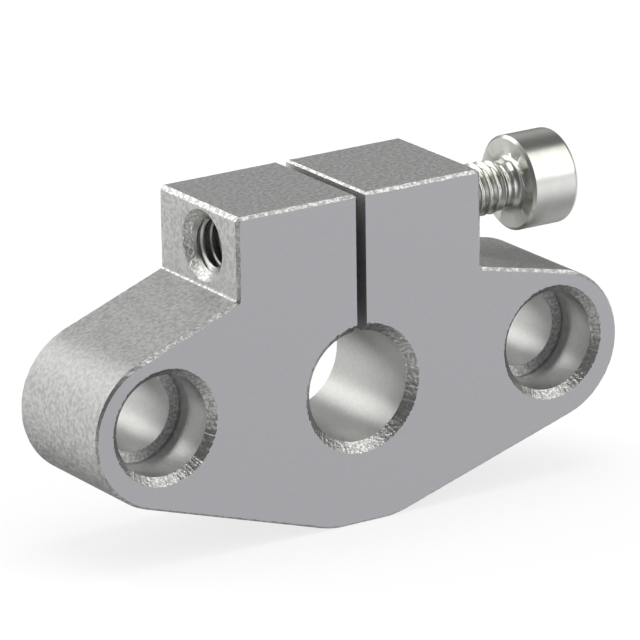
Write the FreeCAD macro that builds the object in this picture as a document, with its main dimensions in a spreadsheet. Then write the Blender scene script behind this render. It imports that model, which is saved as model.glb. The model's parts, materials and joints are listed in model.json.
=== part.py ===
"""Horizontal shaft support: a flanged block with a split clamp for a shaft, and its clamp screw.

Frame: the origin is on the axis of the shaft bore, at the back mounting face. X runs along the
flange, from the tapped ear's side to the screw head's side, -Y points out of the counterbored
front face, and +Z points up along the saw slot. Lengths are in millimetres.
"""

import FreeCAD, Part
import enum
import math
import os

import Sketcher
from FreeCAD import Vector

# Driving dimensions: alias, value, meaning
SIZES = [
    ("shaft_bore_dia", 8.0, "bore that holds the shaft"),
    ("block_depth", 10.0, "along the shaft, front face to back face"),
    ("top_height", 14.0, "bore axis to the top of the ears"),
    ("bottom_drop", 9.8, "bore axis to the flat under the block"),
    ("bottom_flat_width", 5.3, "flat under the block"),
    ("neck_width", 20.0, "across both ears"),
    ("left_ear_height", 5.9, "side face of the tapped ear, top to flange"),
    ("right_ear_height", 7.1, "side face of the plain ear, top to flange"),
    ("mount_spacing", 32.0, "between the mounting holes, and between the lobes"),
    ("mount_rise", 0.3, "bore axis up to the line of the mounting holes"),
    ("lobe_radius", 5.5, "round end of the flange"),
    ("slot_width", 0.8, "saw slot between the ears"),
    ("edge_radius", 0.3, "rounding of the outer edges"),
    ("bore_chamfer", 0.65, "chamfer at each end of the shaft bore"),
    ("mount_hole_dia", 5.5, "through part of a mounting hole"),
    ("counterbore_dia", 7.2, "wide part of a mounting hole"),
    ("counterbore_depth", 4.0, "wide part of a mounting hole, from the front face"),
    ("counterbore_chamfer", 0.55, "chamfer at a counterbore's mouth"),
    ("mount_back_chamfer", 0.3, "chamfer where a mounting hole leaves the back face"),
    ("screw_drop", 3.0, "top of the ears to the screw axis"),
    ("screw_inset", 4.5, "front face to the screw axis"),
    ("thread_dia", 4.0, "tapped hole, over the roots of its thread"),
    ("thread_slack", 0.05, "gap all round between screw and tapped hole"),
    ("tapped_chamfer", 0.5, "chamfer at the tapped hole's mouth"),
    ("passage_slack", 0.3, "gap all round between screw and plain hole"),
    ("passage_chamfer", 0.3, "chamfer at the plain hole's mouth"),
    ("screw_length", 20.0, "screw under its head"),
    ("neck_fillet", 0.35, "fillet between screw and head"),
    ("tip_chamfer", 0.5, "chamfer at the screw's tip"),
    ("head_dia", 6.8, "screw head across"),
    ("head_height", 3.85, "screw head along its axis"),
    ("head_round", 0.4, "rounding at the head's outer end"),
    ("seat_chamfer", 0.12, "chamfer round the head's seat"),
    ("socket_width", 3.0, "hexagon socket, across its flats"),
    ("socket_depth", 2.0, "hexagon socket, straight part"),
    ("socket_cone_dia", 2.6, "pointed bottom of the socket, across its mouth"),
    ("socket_cone_depth", 0.5, "pointed bottom of the socket"),
    ("backed_out", 5.3, "ear face to head seat, with the clamp open"),
]

TOUCH = 1e-4


class Spot(enum.IntEnum):
    """The numbers that a sketch gives to a curve's ends and centre, and to its own axes."""
    START = 1
    END = 2
    CENTRE = 3
    ORIGIN = -1
    H_AXIS = -1
    V_AXIS = -2


START, END, CENTRE = Spot.START, Spot.END, Spot.CENTRE
ORIGIN, H_AXIS, V_AXIS = Spot.ORIGIN, Spot.H_AXIS, Spot.V_AXIS

doc = FreeCAD.newDocument("shaft_support")
sizes = doc.addObject("Spreadsheet::Sheet", "Sizes")
for row, (alias, value, meaning) in enumerate(SIZES, start=1):
    sizes.set(f"A{row}", alias)
    sizes.set(f"B{row}", str(value))
    sizes.set(f"C{row}", meaning)
    sizes.setAlias(f"B{row}", alias)
doc.recompute()


def size(alias):
    """The value that the sheet holds for one size."""
    return float(getattr(sizes, alias))


# Helpers for bodies, sketches and the choice of edges

def new_body(name):
    """A body whose label is the name of the piece."""
    body = doc.addObject("PartDesign::Body", name)
    body.Label = name
    return body


def sketch_on(body, role, name, offset=None):
    """A sketch on one of the body's own planes, moved along its normal by a formula."""
    plane = next(f for f in body.Origin.OriginFeatures if f.Role == role)
    sketch = body.newObject("Sketcher::SketchObject", name)
    sketch.AttachmentSupport = [(plane, "")]
    sketch.MapMode = "FlatFace"
    if offset:
        sketch.setExpression("AttachmentOffset.Base.z", offset)
    return sketch


def relate(sketch, kind, *ends):
    """A constraint that has no size."""
    sketch.addConstraint(Sketcher.Constraint(kind, *ends))


def measure(sketch, kind, ends, value, formula):
    """A constraint whose size follows a formula on the sheet. The value only starts it off."""
    index = sketch.addConstraint(Sketcher.Constraint(kind, *ends, value))
    sketch.setExpression(f"Constraints[{index}]", formula)


def closed_lines(sketch, points):
    """Straight lines from point to point and back to the first, joined at their ends."""
    corners = [Vector(x, y, 0) for x, y in points]
    followers = corners[1:] + corners[:1]
    lines = [sketch.addGeometry(Part.LineSegment(a, b)) for a, b in zip(corners, followers)]
    for line, following in zip(lines, lines[1:] + lines[:1]):
        relate(sketch, "Coincident", line, END, following, START)
    return lines


def set_feature(feature, ties=None, **settings):
    """Set a feature's plain properties and bind its sizes, then build it."""
    for name, value in settings.items():
        setattr(feature, name, value)
    for name, formula in (ties or {}).items():
        feature.setExpression(name, formula)
    doc.recompute()
    if {"Invalid", "Error"} & set(feature.State):
        raise RuntimeError(f"{feature.Name} failed: {feature.State}")
    return feature


def named_edges(feature):
    """Each edge of a feature's shape with its name, apart from edges that have shrunk to a point."""
    numbered = enumerate(feature.Shape.Edges, start=1)
    return [(f"Edge{number}", edge) for number, edge in numbered if not edge.Degenerated]


def ring_edges(feature, centre, radius):
    """Names of the circular edges of a feature that have this centre and radius."""
    curves = [(name, edge.Curve) for name, edge in named_edges(feature)]
    rings = [(name, curve) for name, curve in curves if isinstance(curve, Part.Circle)]
    return [name for name, ring in rings
            if abs(ring.Radius - radius) < TOUCH and ring.Center.distanceToPoint(centre) < TOUCH]


def depth_edges(feature, wanted):
    """Names of the straight edges that run through the block along Y, and whose middle is wanted."""
    lines = [(name, edge) for name, edge in named_edges(feature) if isinstance(edge.Curve, Part.Line)]
    return [name for name, edge in lines
            if abs(edge.Curve.Direction.y) > 1 - TOUCH and wanted(edge.CenterOfMass)]


def break_edges(body, kind, name, edges, formula):
    """A chamfer or a fillet on some edges of the body as it is now."""
    before = body.Tip
    feature = body.newObject(f"PartDesign::{kind}", name)
    ties = {"Radius" if kind == "Fillet" else "Size": formula}
    return set_feature(feature, ties, Base=(before, edges))


# Support block

def tangent_angle(corner_x, corner_z, lobe_x, upper):
    """Where a line from a corner touches a lobe, as an angle on the lobe."""
    away_x, away_z = corner_x - lobe_x, corner_z
    half = math.acos(size("lobe_radius") / math.hypot(away_x, away_z))
    turns = (math.atan2(away_z, away_x) + half, math.atan2(away_z, away_x) - half)
    return (max if upper else min)(turns, key=math.sin)


def outline(body):
    """Front outline: two ears on a neck, and a flange that tapers to a round lobe each side."""
    sketch = sketch_on(body, "XZ_Plane", "outline")
    radius, lobe = size("lobe_radius"), size("mount_spacing") / 2
    foot, neck = size("bottom_flat_width") / 2, size("neck_width") / 2
    top, bottom = size("top_height"), -size("bottom_drop")
    joint = {-1: top - size("left_ear_height"), 1: top - size("right_ear_height")}

    def touch(side, upper):
        corner = (side * neck, joint[side]) if upper else (side * foot, bottom)
        angle = tangent_angle(*corner, side * lobe, upper)
        return angle, Vector(side * lobe + radius * math.cos(angle), radius * math.sin(angle), 0)

    def line(a, b):
        return sketch.addGeometry(Part.LineSegment(a, b))

    def lobe_arc(side, start, end):
        circle = Part.Circle(Vector(side * lobe, 0, 0), Vector(0, 0, 1), radius)
        return sketch.addGeometry(Part.ArcOfCircle(circle, start, end))

    (right_low, right_low_point), (right_up, right_up_point) = touch(1, False), touch(1, True)
    (left_low, left_low_point), (left_up, left_up_point) = touch(-1, False), touch(-1, True)
    base = line(Vector(-foot, bottom, 0), Vector(foot, bottom, 0))
    right_under = line(Vector(foot, bottom, 0), right_low_point)
    right_lobe = lobe_arc(1, right_low, right_up)
    right_over = line(right_up_point, Vector(neck, joint[1], 0))
    right_ear = line(Vector(neck, joint[1], 0), Vector(neck, top, 0))
    roof = line(Vector(neck, top, 0), Vector(-neck, top, 0))
    left_ear = line(Vector(-neck, top, 0), Vector(-neck, joint[-1], 0))
    left_over = line(Vector(-neck, joint[-1], 0), left_up_point)
    left_lobe = lobe_arc(-1, left_up, left_low % math.tau)
    left_under = line(left_low_point, Vector(-foot, bottom, 0))

    for first, second in ((base, right_under), (right_over, right_ear), (right_ear, roof),
                          (roof, left_ear), (left_ear, left_over), (left_under, base)):
        relate(sketch, "Coincident", first, END, second, START)
    for first, second in ((right_under, right_lobe), (right_lobe, right_over),
                          (left_over, left_lobe), (left_lobe, left_under)):
        relate(sketch, "Tangent", first, END, second, START)
    relate(sketch, "Vertical", right_ear)
    relate(sketch, "Vertical", left_ear)
    relate(sketch, "Symmetric", base, START, base, END, V_AXIS)
    relate(sketch, "Symmetric", roof, START, roof, END, V_AXIS)
    relate(sketch, "Symmetric", right_lobe, CENTRE, left_lobe, CENTRE, V_AXIS)
    relate(sketch, "PointOnObject", right_lobe, CENTRE, H_AXIS)
    relate(sketch, "Equal", right_lobe, left_lobe)
    measure(sketch, "Radius", (right_lobe,), radius, "Sizes.lobe_radius")
    measure(sketch, "DistanceX", (left_lobe, CENTRE, right_lobe, CENTRE), 2 * lobe, "Sizes.mount_spacing")
    measure(sketch, "DistanceX", (base, START, base, END), 2 * foot, "Sizes.bottom_flat_width")
    measure(sketch, "DistanceX", (roof, END, roof, START), 2 * neck, "Sizes.neck_width")
    measure(sketch, "DistanceY", (ORIGIN, START, roof, START), top, "Sizes.top_height")
    measure(sketch, "DistanceY", (base, START, ORIGIN, START), -bottom, "Sizes.bottom_drop")
    measure(sketch, "DistanceY", (right_ear, START, right_ear, END), top - joint[1], "Sizes.right_ear_height")
    measure(sketch, "DistanceY", (left_ear, END, left_ear, START), top - joint[-1], "Sizes.left_ear_height")
    return sketch


def block(body):
    """The solid block."""
    pad = body.newObject("PartDesign::Pad", "block")
    set_feature(pad, {"Length": "Sizes.block_depth"}, Profile=outline(body))


def saw_slot(body):
    """The slot from the bore up between the ears."""
    sketch = sketch_on(body, "XZ_Plane", "slot_outline")
    half, top = size("slot_width") / 2, size("top_height")
    floor, side, roof, _ = closed_lines(sketch, [(-half, 0), (half, 0), (half, top), (-half, top)])
    relate(sketch, "Vertical", side)
    relate(sketch, "Symmetric", floor, START, floor, END, V_AXIS)
    relate(sketch, "Symmetric", roof, START, roof, END, V_AXIS)
    relate(sketch, "PointOnObject", floor, START, H_AXIS)
    measure(sketch, "DistanceX", (floor, START, floor, END), 2 * half, "Sizes.slot_width")
    measure(sketch, "DistanceY", (side, START, side, END), top, "Sizes.top_height")
    slot = body.newObject("PartDesign::Pocket", "saw_slot")
    set_feature(slot, Profile=sketch, Type="ThroughAll", Reversed=True)


def rounded_edges(body):
    """The rounding all round the front and back faces and along the top corners of both ears."""
    half_depth, half_slot = size("block_depth") / 2, size("slot_width") / 2

    def on_outline(middle):
        in_face = abs(middle.y + half_depth) > half_depth - TOUCH
        return in_face and (abs(middle.x) > half_slot + TOUCH or middle.z < 0)

    names = depth_edges(body.Tip, lambda middle: middle.z > size("top_height") - TOUCH)
    names += [name for name, edge in named_edges(body.Tip) if on_outline(edge.CenterOfMass)]
    break_edges(body, "Fillet", "rounded_edges", names, "Sizes.edge_radius")


def shaft_bore(body):
    """The bore for the shaft, through the block, with a chamfer at each end."""
    sketch = sketch_on(body, "XZ_Plane", "bore_outline")
    radius = size("shaft_bore_dia") / 2
    circle = sketch.addGeometry(Part.Circle(Vector(), Vector(0, 0, 1), radius))
    relate(sketch, "Coincident", circle, CENTRE, ORIGIN, START)
    measure(sketch, "Diameter", (circle,), 2 * radius, "Sizes.shaft_bore_dia")
    bore = body.newObject("PartDesign::Pocket", "shaft_bore")
    set_feature(bore, Profile=sketch, Type="ThroughAll", Reversed=True)
    rims = [ring_edges(bore, Vector(0, y, 0), radius) for y in (0, -size("block_depth"))]
    break_edges(body, "Chamfer", "bore_chamfers", sum(rims, []), "Sizes.bore_chamfer")


def mounting_holes(body):
    """Two stepped holes, wide at the front face, with a chamfer at each mouth."""
    sketch = sketch_on(body, "XZ_Plane", "hole_centres", "Sizes.block_depth")
    radius, apart, rise = size("mount_hole_dia") / 2, size("mount_spacing"), size("mount_rise")
    sides = (-apart / 2, apart / 2)
    centres = [Vector(x, rise, 0) for x in sides]
    left, right = (sketch.addGeometry(Part.Circle(c, Vector(0, 0, 1), radius)) for c in centres)
    relate(sketch, "Symmetric", left, CENTRE, right, CENTRE, V_AXIS)
    relate(sketch, "Equal", left, right)
    measure(sketch, "Diameter", (left,), 2 * radius, "Sizes.mount_hole_dia")
    measure(sketch, "DistanceX", (left, CENTRE, right, CENTRE), apart, "Sizes.mount_spacing")
    measure(sketch, "DistanceY", (ORIGIN, START, left, CENTRE), rise, "Sizes.mount_rise")
    holes = body.newObject("PartDesign::Hole", "mounting_holes")
    holes.Profile = sketch
    doc.recompute()
    set_feature(holes, {"Diameter": "Sizes.mount_hole_dia", "HoleCutDiameter": "Sizes.counterbore_dia",
                        "HoleCutDepth": "Sizes.counterbore_depth"},
                DepthType="ThroughAll", HoleCutType="Counterbore", HoleCutCustomValues=True)
    wide, front = size("counterbore_dia") / 2, -size("block_depth")
    mouths = [ring_edges(holes, Vector(x, front, rise), wide) for x in sides]
    mouth_size = "Sizes.counterbore_chamfer"
    chamfers = break_edges(body, "Chamfer", "counterbore_chamfers", sum(mouths, []), mouth_size)
    backs = [ring_edges(chamfers, Vector(x, 0, rise), radius) for x in sides]
    break_edges(body, "Chamfer", "back_chamfers", sum(backs, []), "Sizes.mount_back_chamfer")


def cross_hole(body, name, diameter, chamfer, rightwards):
    """Half of the screw's hole: from the slot out through one ear, with a chamfer at its mouth."""
    sketch = sketch_on(body, "YZ_Plane", f"{name}_outline")
    inset = size("block_depth") - size("screw_inset")
    height = size("top_height") - size("screw_drop")
    centre = Vector(-inset, height, 0)
    circle = sketch.addGeometry(Part.Circle(centre, Vector(0, 0, 1), size("thread_dia") / 2))
    measure(sketch, "Diameter", (circle,), size("thread_dia"), diameter)
    measure(sketch, "DistanceX", (circle, CENTRE, ORIGIN, START), inset,
            "Sizes.block_depth - Sizes.screw_inset")
    measure(sketch, "DistanceY", (ORIGIN, START, circle, CENTRE), height,
            "Sizes.top_height - Sizes.screw_drop")
    doc.recompute()
    hole = body.newObject("PartDesign::Pocket", name)
    set_feature(hole, Profile=sketch, Type="ThroughAll", Reversed=rightwards)
    side = (1 if rightwards else -1) * size("neck_width") / 2
    mouth = ring_edges(hole, Vector(side, -inset, height), sketch.Geometry[circle].Radius)
    break_edges(body, "Chamfer", f"{name}_chamfer", mouth, chamfer)


def support_body():
    """The one-piece block: it is milled and sawn, then drilled and tapped."""
    body = new_body("support_body")
    block(body)
    saw_slot(body)
    rounded_edges(body)
    shaft_bore(body)
    mounting_holes(body)
    passage_dia = "Sizes.thread_dia - 2 * Sizes.thread_slack + 2 * Sizes.passage_slack"
    cross_hole(body, "tapped_hole", "Sizes.thread_dia", "Sizes.tapped_chamfer", False)
    cross_hole(body, "plain_hole", passage_dia, "Sizes.passage_chamfer", True)
    return body


# Clamp screw, drawn along X with its head's seat at the body's own origin

def turned_blank(body):
    """Shank and head turned as one, with the neck, the tip and the head's edges finished."""
    sketch = sketch_on(body, "XZ_Plane", "half_section")
    shank, head = size("thread_dia") / 2 - size("thread_slack"), size("head_dia") / 2
    length, height = size("screw_length"), size("head_height")
    axis, crown, rim, seat, shank_side, tip = closed_lines(sketch, [
        (-length, 0), (height, 0), (height, head), (0, head), (0, shank), (-length, shank)])
    for line in (rim, shank_side):
        relate(sketch, "Horizontal", line)
    for line in (crown, seat, tip):
        relate(sketch, "Vertical", line)
    relate(sketch, "PointOnObject", axis, START, H_AXIS)
    relate(sketch, "PointOnObject", axis, END, H_AXIS)
    relate(sketch, "PointOnObject", seat, START, V_AXIS)
    measure(sketch, "DistanceX", (shank_side, END, shank_side, START), length, "Sizes.screw_length")
    measure(sketch, "DistanceX", (rim, END, rim, START), height, "Sizes.head_height")
    measure(sketch, "DistanceY", (crown, START, crown, END), head, "Sizes.head_dia / 2")
    measure(sketch, "DistanceY", (tip, END, tip, START), shank, "Sizes.thread_dia / 2 - Sizes.thread_slack")
    blank = body.newObject("PartDesign::Revolution", "blank")
    set_feature(blank, Profile=sketch, ReferenceAxis=(sketch, ["H_Axis"]), Angle=360.0)
    finishes = (("Chamfer", "tip_end", -length, shank, "Sizes.tip_chamfer"),
                ("Fillet", "neck", 0, shank, "Sizes.neck_fillet"),
                ("Chamfer", "seat_edge", 0, head, "Sizes.seat_chamfer"),
                ("Fillet", "crown_edge", height, head, "Sizes.head_round"))
    for kind, name, x, radius, formula in finishes:
        break_edges(body, kind, name, ring_edges(body.Tip, Vector(x, 0, 0), radius), formula)


def hexagon_socket(body):
    """The six-sided recess in the head, with a pointed bottom."""
    sketch = sketch_on(body, "YZ_Plane", "hexagon", "Sizes.head_height")
    corner = size("socket_width") / math.sqrt(3)
    angles = [math.radians(60 * n) for n in range(6)]
    lines = closed_lines(sketch, [(corner * math.cos(a), corner * math.sin(a)) for a in angles])
    guide = sketch.addGeometry(Part.Circle(Vector(), Vector(0, 0, 1), corner), True)
    relate(sketch, "Coincident", guide, CENTRE, ORIGIN, START)
    for line in lines:
        relate(sketch, "PointOnObject", line, START, guide)
    for line in lines[1:]:
        relate(sketch, "Equal", lines[0], line)
    relate(sketch, "PointOnObject", lines[0], START, H_AXIS)
    measure(sketch, "Diameter", (guide,), 2 * corner, "2 * Sizes.socket_width / sqrt(3)")
    socket = body.newObject("PartDesign::Pocket", "socket")
    set_feature(socket, {"Length": "Sizes.socket_depth"}, Profile=sketch)

    section = sketch_on(body, "XZ_Plane", "socket_bottom_section")
    floor = size("head_height") - size("socket_depth")
    rim, depth = size("socket_cone_dia") / 2, size("socket_cone_depth")
    axis, mouth, _ = closed_lines(section, [(floor - depth, 0), (floor, 0), (floor, rim)])
    relate(section, "PointOnObject", axis, START, H_AXIS)
    relate(section, "PointOnObject", axis, END, H_AXIS)
    relate(section, "Vertical", mouth)
    measure(section, "DistanceX", (ORIGIN, START, axis, END), floor, "Sizes.head_height - Sizes.socket_depth")
    measure(section, "DistanceX", (axis, START, axis, END), depth, "Sizes.socket_cone_depth")
    measure(section, "DistanceY", (mouth, START, mouth, END), rim, "Sizes.socket_cone_dia / 2")
    bottom = body.newObject("PartDesign::Groove", "socket_bottom")
    set_feature(bottom, Profile=section, ReferenceAxis=(section, ["H_Axis"]), Angle=360.0)


def clamp_screw():
    """The socket head screw, backed out of the tapped ear so that the clamp is open."""
    body = new_body("clamp_screw")
    turned_blank(body)
    hexagon_socket(body)
    body.setExpression("Placement.Base.x", "Sizes.neck_width / 2 + Sizes.backed_out")
    body.setExpression("Placement.Base.y", "Sizes.screw_inset - Sizes.block_depth")
    body.setExpression("Placement.Base.z", "Sizes.top_height - Sizes.screw_drop")
    return body


# Build, check and write the pieces

def check_document(bodies):
    """Stop if an object failed, a sketch is loose or a piece is not one valid solid."""
    for thing in doc.Objects:
        if {"Invalid", "Error"} & set(thing.State):
            raise RuntimeError(f"{thing.Name} failed: {thing.State}")
        if thing.TypeId == "Sketcher::SketchObject" and not thing.FullyConstrained:
            raise RuntimeError(f"{thing.Name} is not fully constrained")
    for body in bodies:
        shape = body.Shape
        if shape.isNull() or not shape.isValid() or len(shape.Solids) != 1:
            raise RuntimeError(f"{body.Label} is not one valid solid")


pieces = [support_body(), clamp_screw()]
doc.recompute()
check_document(pieces)
os.makedirs("parts", exist_ok=True)
for piece in pieces:
    piece.Shape.exportStep(os.path.join("parts", f"{piece.Label}.step"))
    box = piece.Shape.optimalBoundingBox()
    extent = " x ".join(f"{length:.2f}" for length in (box.XLength, box.YLength, box.ZLength))
    print(f"{piece.Label}: {piece.Shape.Volume:.1f} mm3, {extent} mm")
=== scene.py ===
"""Looks of the horizontal shaft support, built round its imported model.

The support is one blasted aluminium block, split by a saw slot over its shaft bore, and one
plated socket head screw that closes the slot. Both pieces are modelled here in millimetres and
scaled to metres when they are finished. X runs along the flange, -Y points out of the
counterbored front face, and Z points up along the slot.
"""

from __future__ import annotations

import json
import logging
import math
from abc import ABC, abstractmethod
from collections.abc import Callable, Iterable, Sequence
from dataclasses import dataclass
from enum import Enum

import bmesh
import bpy
from bmesh.types import BMEdge, BMesh, BMFace, BMVert
from bpy.types import Material, NodeSocket, NodeTree, Object
from mathutils import Matrix, Vector, noise
from mathutils.geometry import interpolate_bezier

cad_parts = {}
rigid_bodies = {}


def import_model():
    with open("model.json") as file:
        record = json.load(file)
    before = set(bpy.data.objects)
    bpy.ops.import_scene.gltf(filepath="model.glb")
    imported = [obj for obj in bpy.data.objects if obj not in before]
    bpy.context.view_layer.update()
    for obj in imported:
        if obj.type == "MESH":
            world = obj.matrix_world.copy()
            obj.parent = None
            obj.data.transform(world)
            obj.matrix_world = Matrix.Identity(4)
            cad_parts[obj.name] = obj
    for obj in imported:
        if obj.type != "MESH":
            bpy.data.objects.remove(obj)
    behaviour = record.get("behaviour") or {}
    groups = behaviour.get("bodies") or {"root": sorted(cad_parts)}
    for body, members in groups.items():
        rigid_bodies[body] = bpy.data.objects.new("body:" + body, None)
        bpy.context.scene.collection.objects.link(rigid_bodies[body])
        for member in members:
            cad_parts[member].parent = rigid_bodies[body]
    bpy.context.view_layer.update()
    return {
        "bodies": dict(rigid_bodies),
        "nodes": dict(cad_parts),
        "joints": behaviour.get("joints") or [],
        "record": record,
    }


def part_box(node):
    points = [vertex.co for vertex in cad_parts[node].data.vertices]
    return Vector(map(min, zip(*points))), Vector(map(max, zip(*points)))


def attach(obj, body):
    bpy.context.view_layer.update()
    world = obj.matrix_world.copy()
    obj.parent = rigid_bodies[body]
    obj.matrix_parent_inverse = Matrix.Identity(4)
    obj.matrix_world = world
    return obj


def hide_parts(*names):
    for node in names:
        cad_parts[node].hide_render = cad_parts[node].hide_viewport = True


LOG = logging.getLogger("shaft_support")

# One millimetre in metres, then lengths in millimetres: what counts as the same place, and how
# far a cutter reaches past the surface that it cuts.
MM = 0.001
WELD = 1e-4
OVER = 0.3

# Shares of a face's normal that lie along an axis: up to the first the face is a side, and from
# the second on it is square to the axis.
SIDE_LEAN = 0.3
SQUARE_LEAN = 0.95

# Angles in radians: faces that meet at less than the first are one plane, and at more than the
# second they make a corner.
FLAT = 1e-3
CORNER = 0.5

UP = Vector((0.0, 0.0, 1.0))

Colour = tuple[float, float, float]
Profile = Sequence[tuple[float, float]]


class Axis(Enum):
    """A direction of the model's frame that something is turned about."""

    X = (1.0, 0.0, 0.0)
    Y = (0.0, 1.0, 0.0)

    @property
    def along(self) -> Vector:
        """The direction itself."""
        return Vector(self.value)


class Zone(Enum):
    """What was last done to a stretch of the block's surface, which is also its material's place. Two of
    the zones also carry painted light.
    """

    BLASTED = 0
    # The broken edges' bare metal, which is real wear, and the inner corner fillets, where this brighter
    # metal is a painted highlight.
    BROKEN_EDGE_AND_CORNER_HIGHLIGHT = 1
    BORED = 2
    TAPPED = 3
    SAWN = 4
    COUNTERSUNK = 5
    SPOT_FACED = 6
    OUTLINE = 7
    # The counterbore walls: the bored metal made much lighter, as painted light on these shaded walls.
    COUNTERBORE_PAINTED_LIGHT = 8
    REAMED = 9


@dataclass(frozen=True)
class Datum:
    """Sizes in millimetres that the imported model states.

    Attributes:
        low: lowest corner of the block.
        high: highest corner of the block.
        screw_low: lowest corner of the screw.
        screw_high: highest corner of the screw.
        bore_radius: radius of the shaft bore.
        hole_radius: radius of a mounting hole behind its counterbore.
        hole_spacing: distance between the mounting holes.
        hole_rise: height of the mounting holes over the shaft bore's axis.
    """

    low: Vector
    high: Vector
    screw_low: Vector
    screw_high: Vector
    bore_radius: float
    hole_radius: float
    hole_spacing: float
    hole_rise: float

    @classmethod
    def from_frame(cls, frame: dict) -> Datum:
        """Read the sizes from the loaded frame.


        Returns:
            The sizes in millimetres.
        """
        mounts = {mount["name"]: mount for mount in frame["record"]["mounts"]}
        pattern = mounts["mounting_holes"]
        low, high = (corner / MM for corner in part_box("support_body"))
        screw_low, screw_high = (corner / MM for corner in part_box("clamp_screw"))
        return cls(low, high, screw_low, screw_high,
                   bore_radius=mounts["shaft_bore"]["dims"]["r_mm"],
                   hole_radius=pattern["dims"]["hole_r_mm"],
                   hole_spacing=pattern["dims"]["spacing_x_mm"],
                   hole_rise=pattern["pos_m"][2] / MM)


# Meshes

def outwards(shape: BMesh) -> BMesh:
    """Turn a closed mesh's faces outwards, and give it back."""
    bmesh.ops.recalc_face_normals(shape, faces=shape.faces[:])
    return shape


def turned(profile: Profile, axis: Axis, centre: Vector, steps: int) -> BMesh:
    """Turn a closed solid of revolution.

    Args:
        profile: distance along the axis and radius of each corner, from one pole to the other.
        axis: what the solid is turned about.
        centre: a point on the axis, from which the distances are counted.
        steps: facets round the axis.

    Returns:
        The solid, with its faces outwards.
    """
    shape = bmesh.new()
    corners = [shape.verts.new(centre + axis.along * along + UP * radius) for along, radius in profile]
    lines = [shape.edges.new(pair) for pair in zip(corners, corners[1:])]
    bmesh.ops.spin(shape, geom=corners + lines, cent=centre, axis=axis.along,
                   angle=math.tau, steps=steps, use_merge=True)
    bmesh.ops.remove_doubles(shape, verts=shape.verts[:], dist=WELD)
    return outwards(shape)


def split(shape: BMesh, longest: float, wanted: Callable[[BMEdge], bool]) -> None:
    """Halve edges until none of them is longer than asked.

    Args:
        shape: the mesh.
        longest: the greatest length that is left.
        wanted: tells which edges are halved.
    """
    while long := [edge for edge in shape.edges if edge.calc_length() > longest and wanted(edge)]:
        bmesh.ops.subdivide_edges(shape, edges=long, cuts=1)


def bevelled(shape: BMesh, edges: list[BMEdge], size: float, segments: int) -> list[BMFace]:
    """Bevel edges.

    Args:
        shape: the mesh.
        edges: the edges that are bevelled.
        size: the bevel's width along each face.
        segments: 1 for a chamfer, more for a rounding.

    Returns:
        The bevel's faces.
    """
    return bmesh.ops.bevel(shape, geom=edges, offset=size, offset_type="OFFSET", segments=segments,
                           profile=0.5, affect="EDGES", material=-1)["faces"]


def points(geometry: Iterable) -> list[BMVert]:
    """The points among what a mesh operator returned."""
    return [item for item in geometry if isinstance(item, BMVert)]


def marked(faces: Iterable[BMFace], zone: Zone) -> None:
    """Give faces the material of a zone."""
    for face in faces:
        face.material_index = zone.value


@dataclass(frozen=True)
class Thread:
    """A right-hand screw thread about an axis along X.

    Attributes:
        axis: a point on the thread's axis.
        pitch: advance in one turn.
        root: least radius.
        crest: greatest radius.
        phase: a place along X where the crest is straight above the axis.
        facets: facets in one turn.
    """

    axis: Vector
    pitch: float
    root: float
    crest: float
    phase: float
    facets: int = 64

    def tooth(self) -> Profile:
        """One pitch of the profile, from root to root: a rounded V with a narrow flat crest."""
        stations = (0.0, 0.12, 0.20, 0.30, 0.40, 0.46, 0.54, 0.60, 0.70, 0.80, 0.88, 1.0)
        heights = (0.0, 0.04, 0.18, 0.50, 0.84, 0.97, 0.97, 0.84, 0.50, 0.18, 0.04, 0.0)
        depth = self.crest - self.root
        return [(station * self.pitch, self.root + height * depth)
                for station, height in zip(stations, heights)]

    def rod(self, start: float, end: float, limit: Callable[[float, float], float]) -> BMesh:
        """Make a closed threaded rod.

        Args:
            start: where the rod begins along X.
            end: where it ends along X.
            limit: gives the radius to use for a place along X and the thread's own radius there.

        Returns:
            The rod, with flat ends and its faces outwards.
        """
        # A root lies half a pitch before a crest, and the first turn is one more than is kept.
        first = self.phase - self.pitch * (math.ceil((self.phase - start) / self.pitch) + 1.0 + 0.5)
        turns = math.ceil((end - first) / self.pitch) + 1
        shape = bmesh.new()
        base = Vector((first, self.axis.y, self.axis.z))
        corners = [shape.verts.new(base + Vector((along, 0.0, radius))) for along, radius in self.tooth()]
        lines = [shape.edges.new(pair) for pair in zip(corners, corners[1:])]
        bmesh.ops.spin(shape, geom=corners + lines, cent=base, axis=Axis.X.along,
                       dvec=Axis.X.along * (self.pitch / self.facets), angle=math.tau,
                       steps=self.facets)
        one_turn = shape.verts[:] + shape.edges[:] + shape.faces[:]
        for turn in range(1, turns):
            copied = bmesh.ops.duplicate(shape, geom=one_turn)
            bmesh.ops.translate(shape, vec=Axis.X.along * (self.pitch * turn),
                                verts=points(copied["geom"]))
        bmesh.ops.remove_doubles(shape, verts=shape.verts[:], dist=WELD)
        for vert in shape.verts:
            spoke = Vector((0.0, vert.co.y - self.axis.y, vert.co.z - self.axis.z))
            vert.co += spoke * (limit(vert.co.x, spoke.length) / spoke.length - 1.0)
        for place, side in ((start, -1.0), (end, 1.0)):
            bmesh.ops.bisect_plane(shape, geom=shape.verts[:] + shape.edges[:] + shape.faces[:],
                                   plane_co=(place, 0.0, 0.0), plane_no=(side, 0.0, 0.0),
                                   clear_outer=True, dist=WELD)
        bmesh.ops.edgeloop_fill(shape, edges=[edge for edge in shape.edges if edge.is_boundary])
        return outwards(shape)


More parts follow.
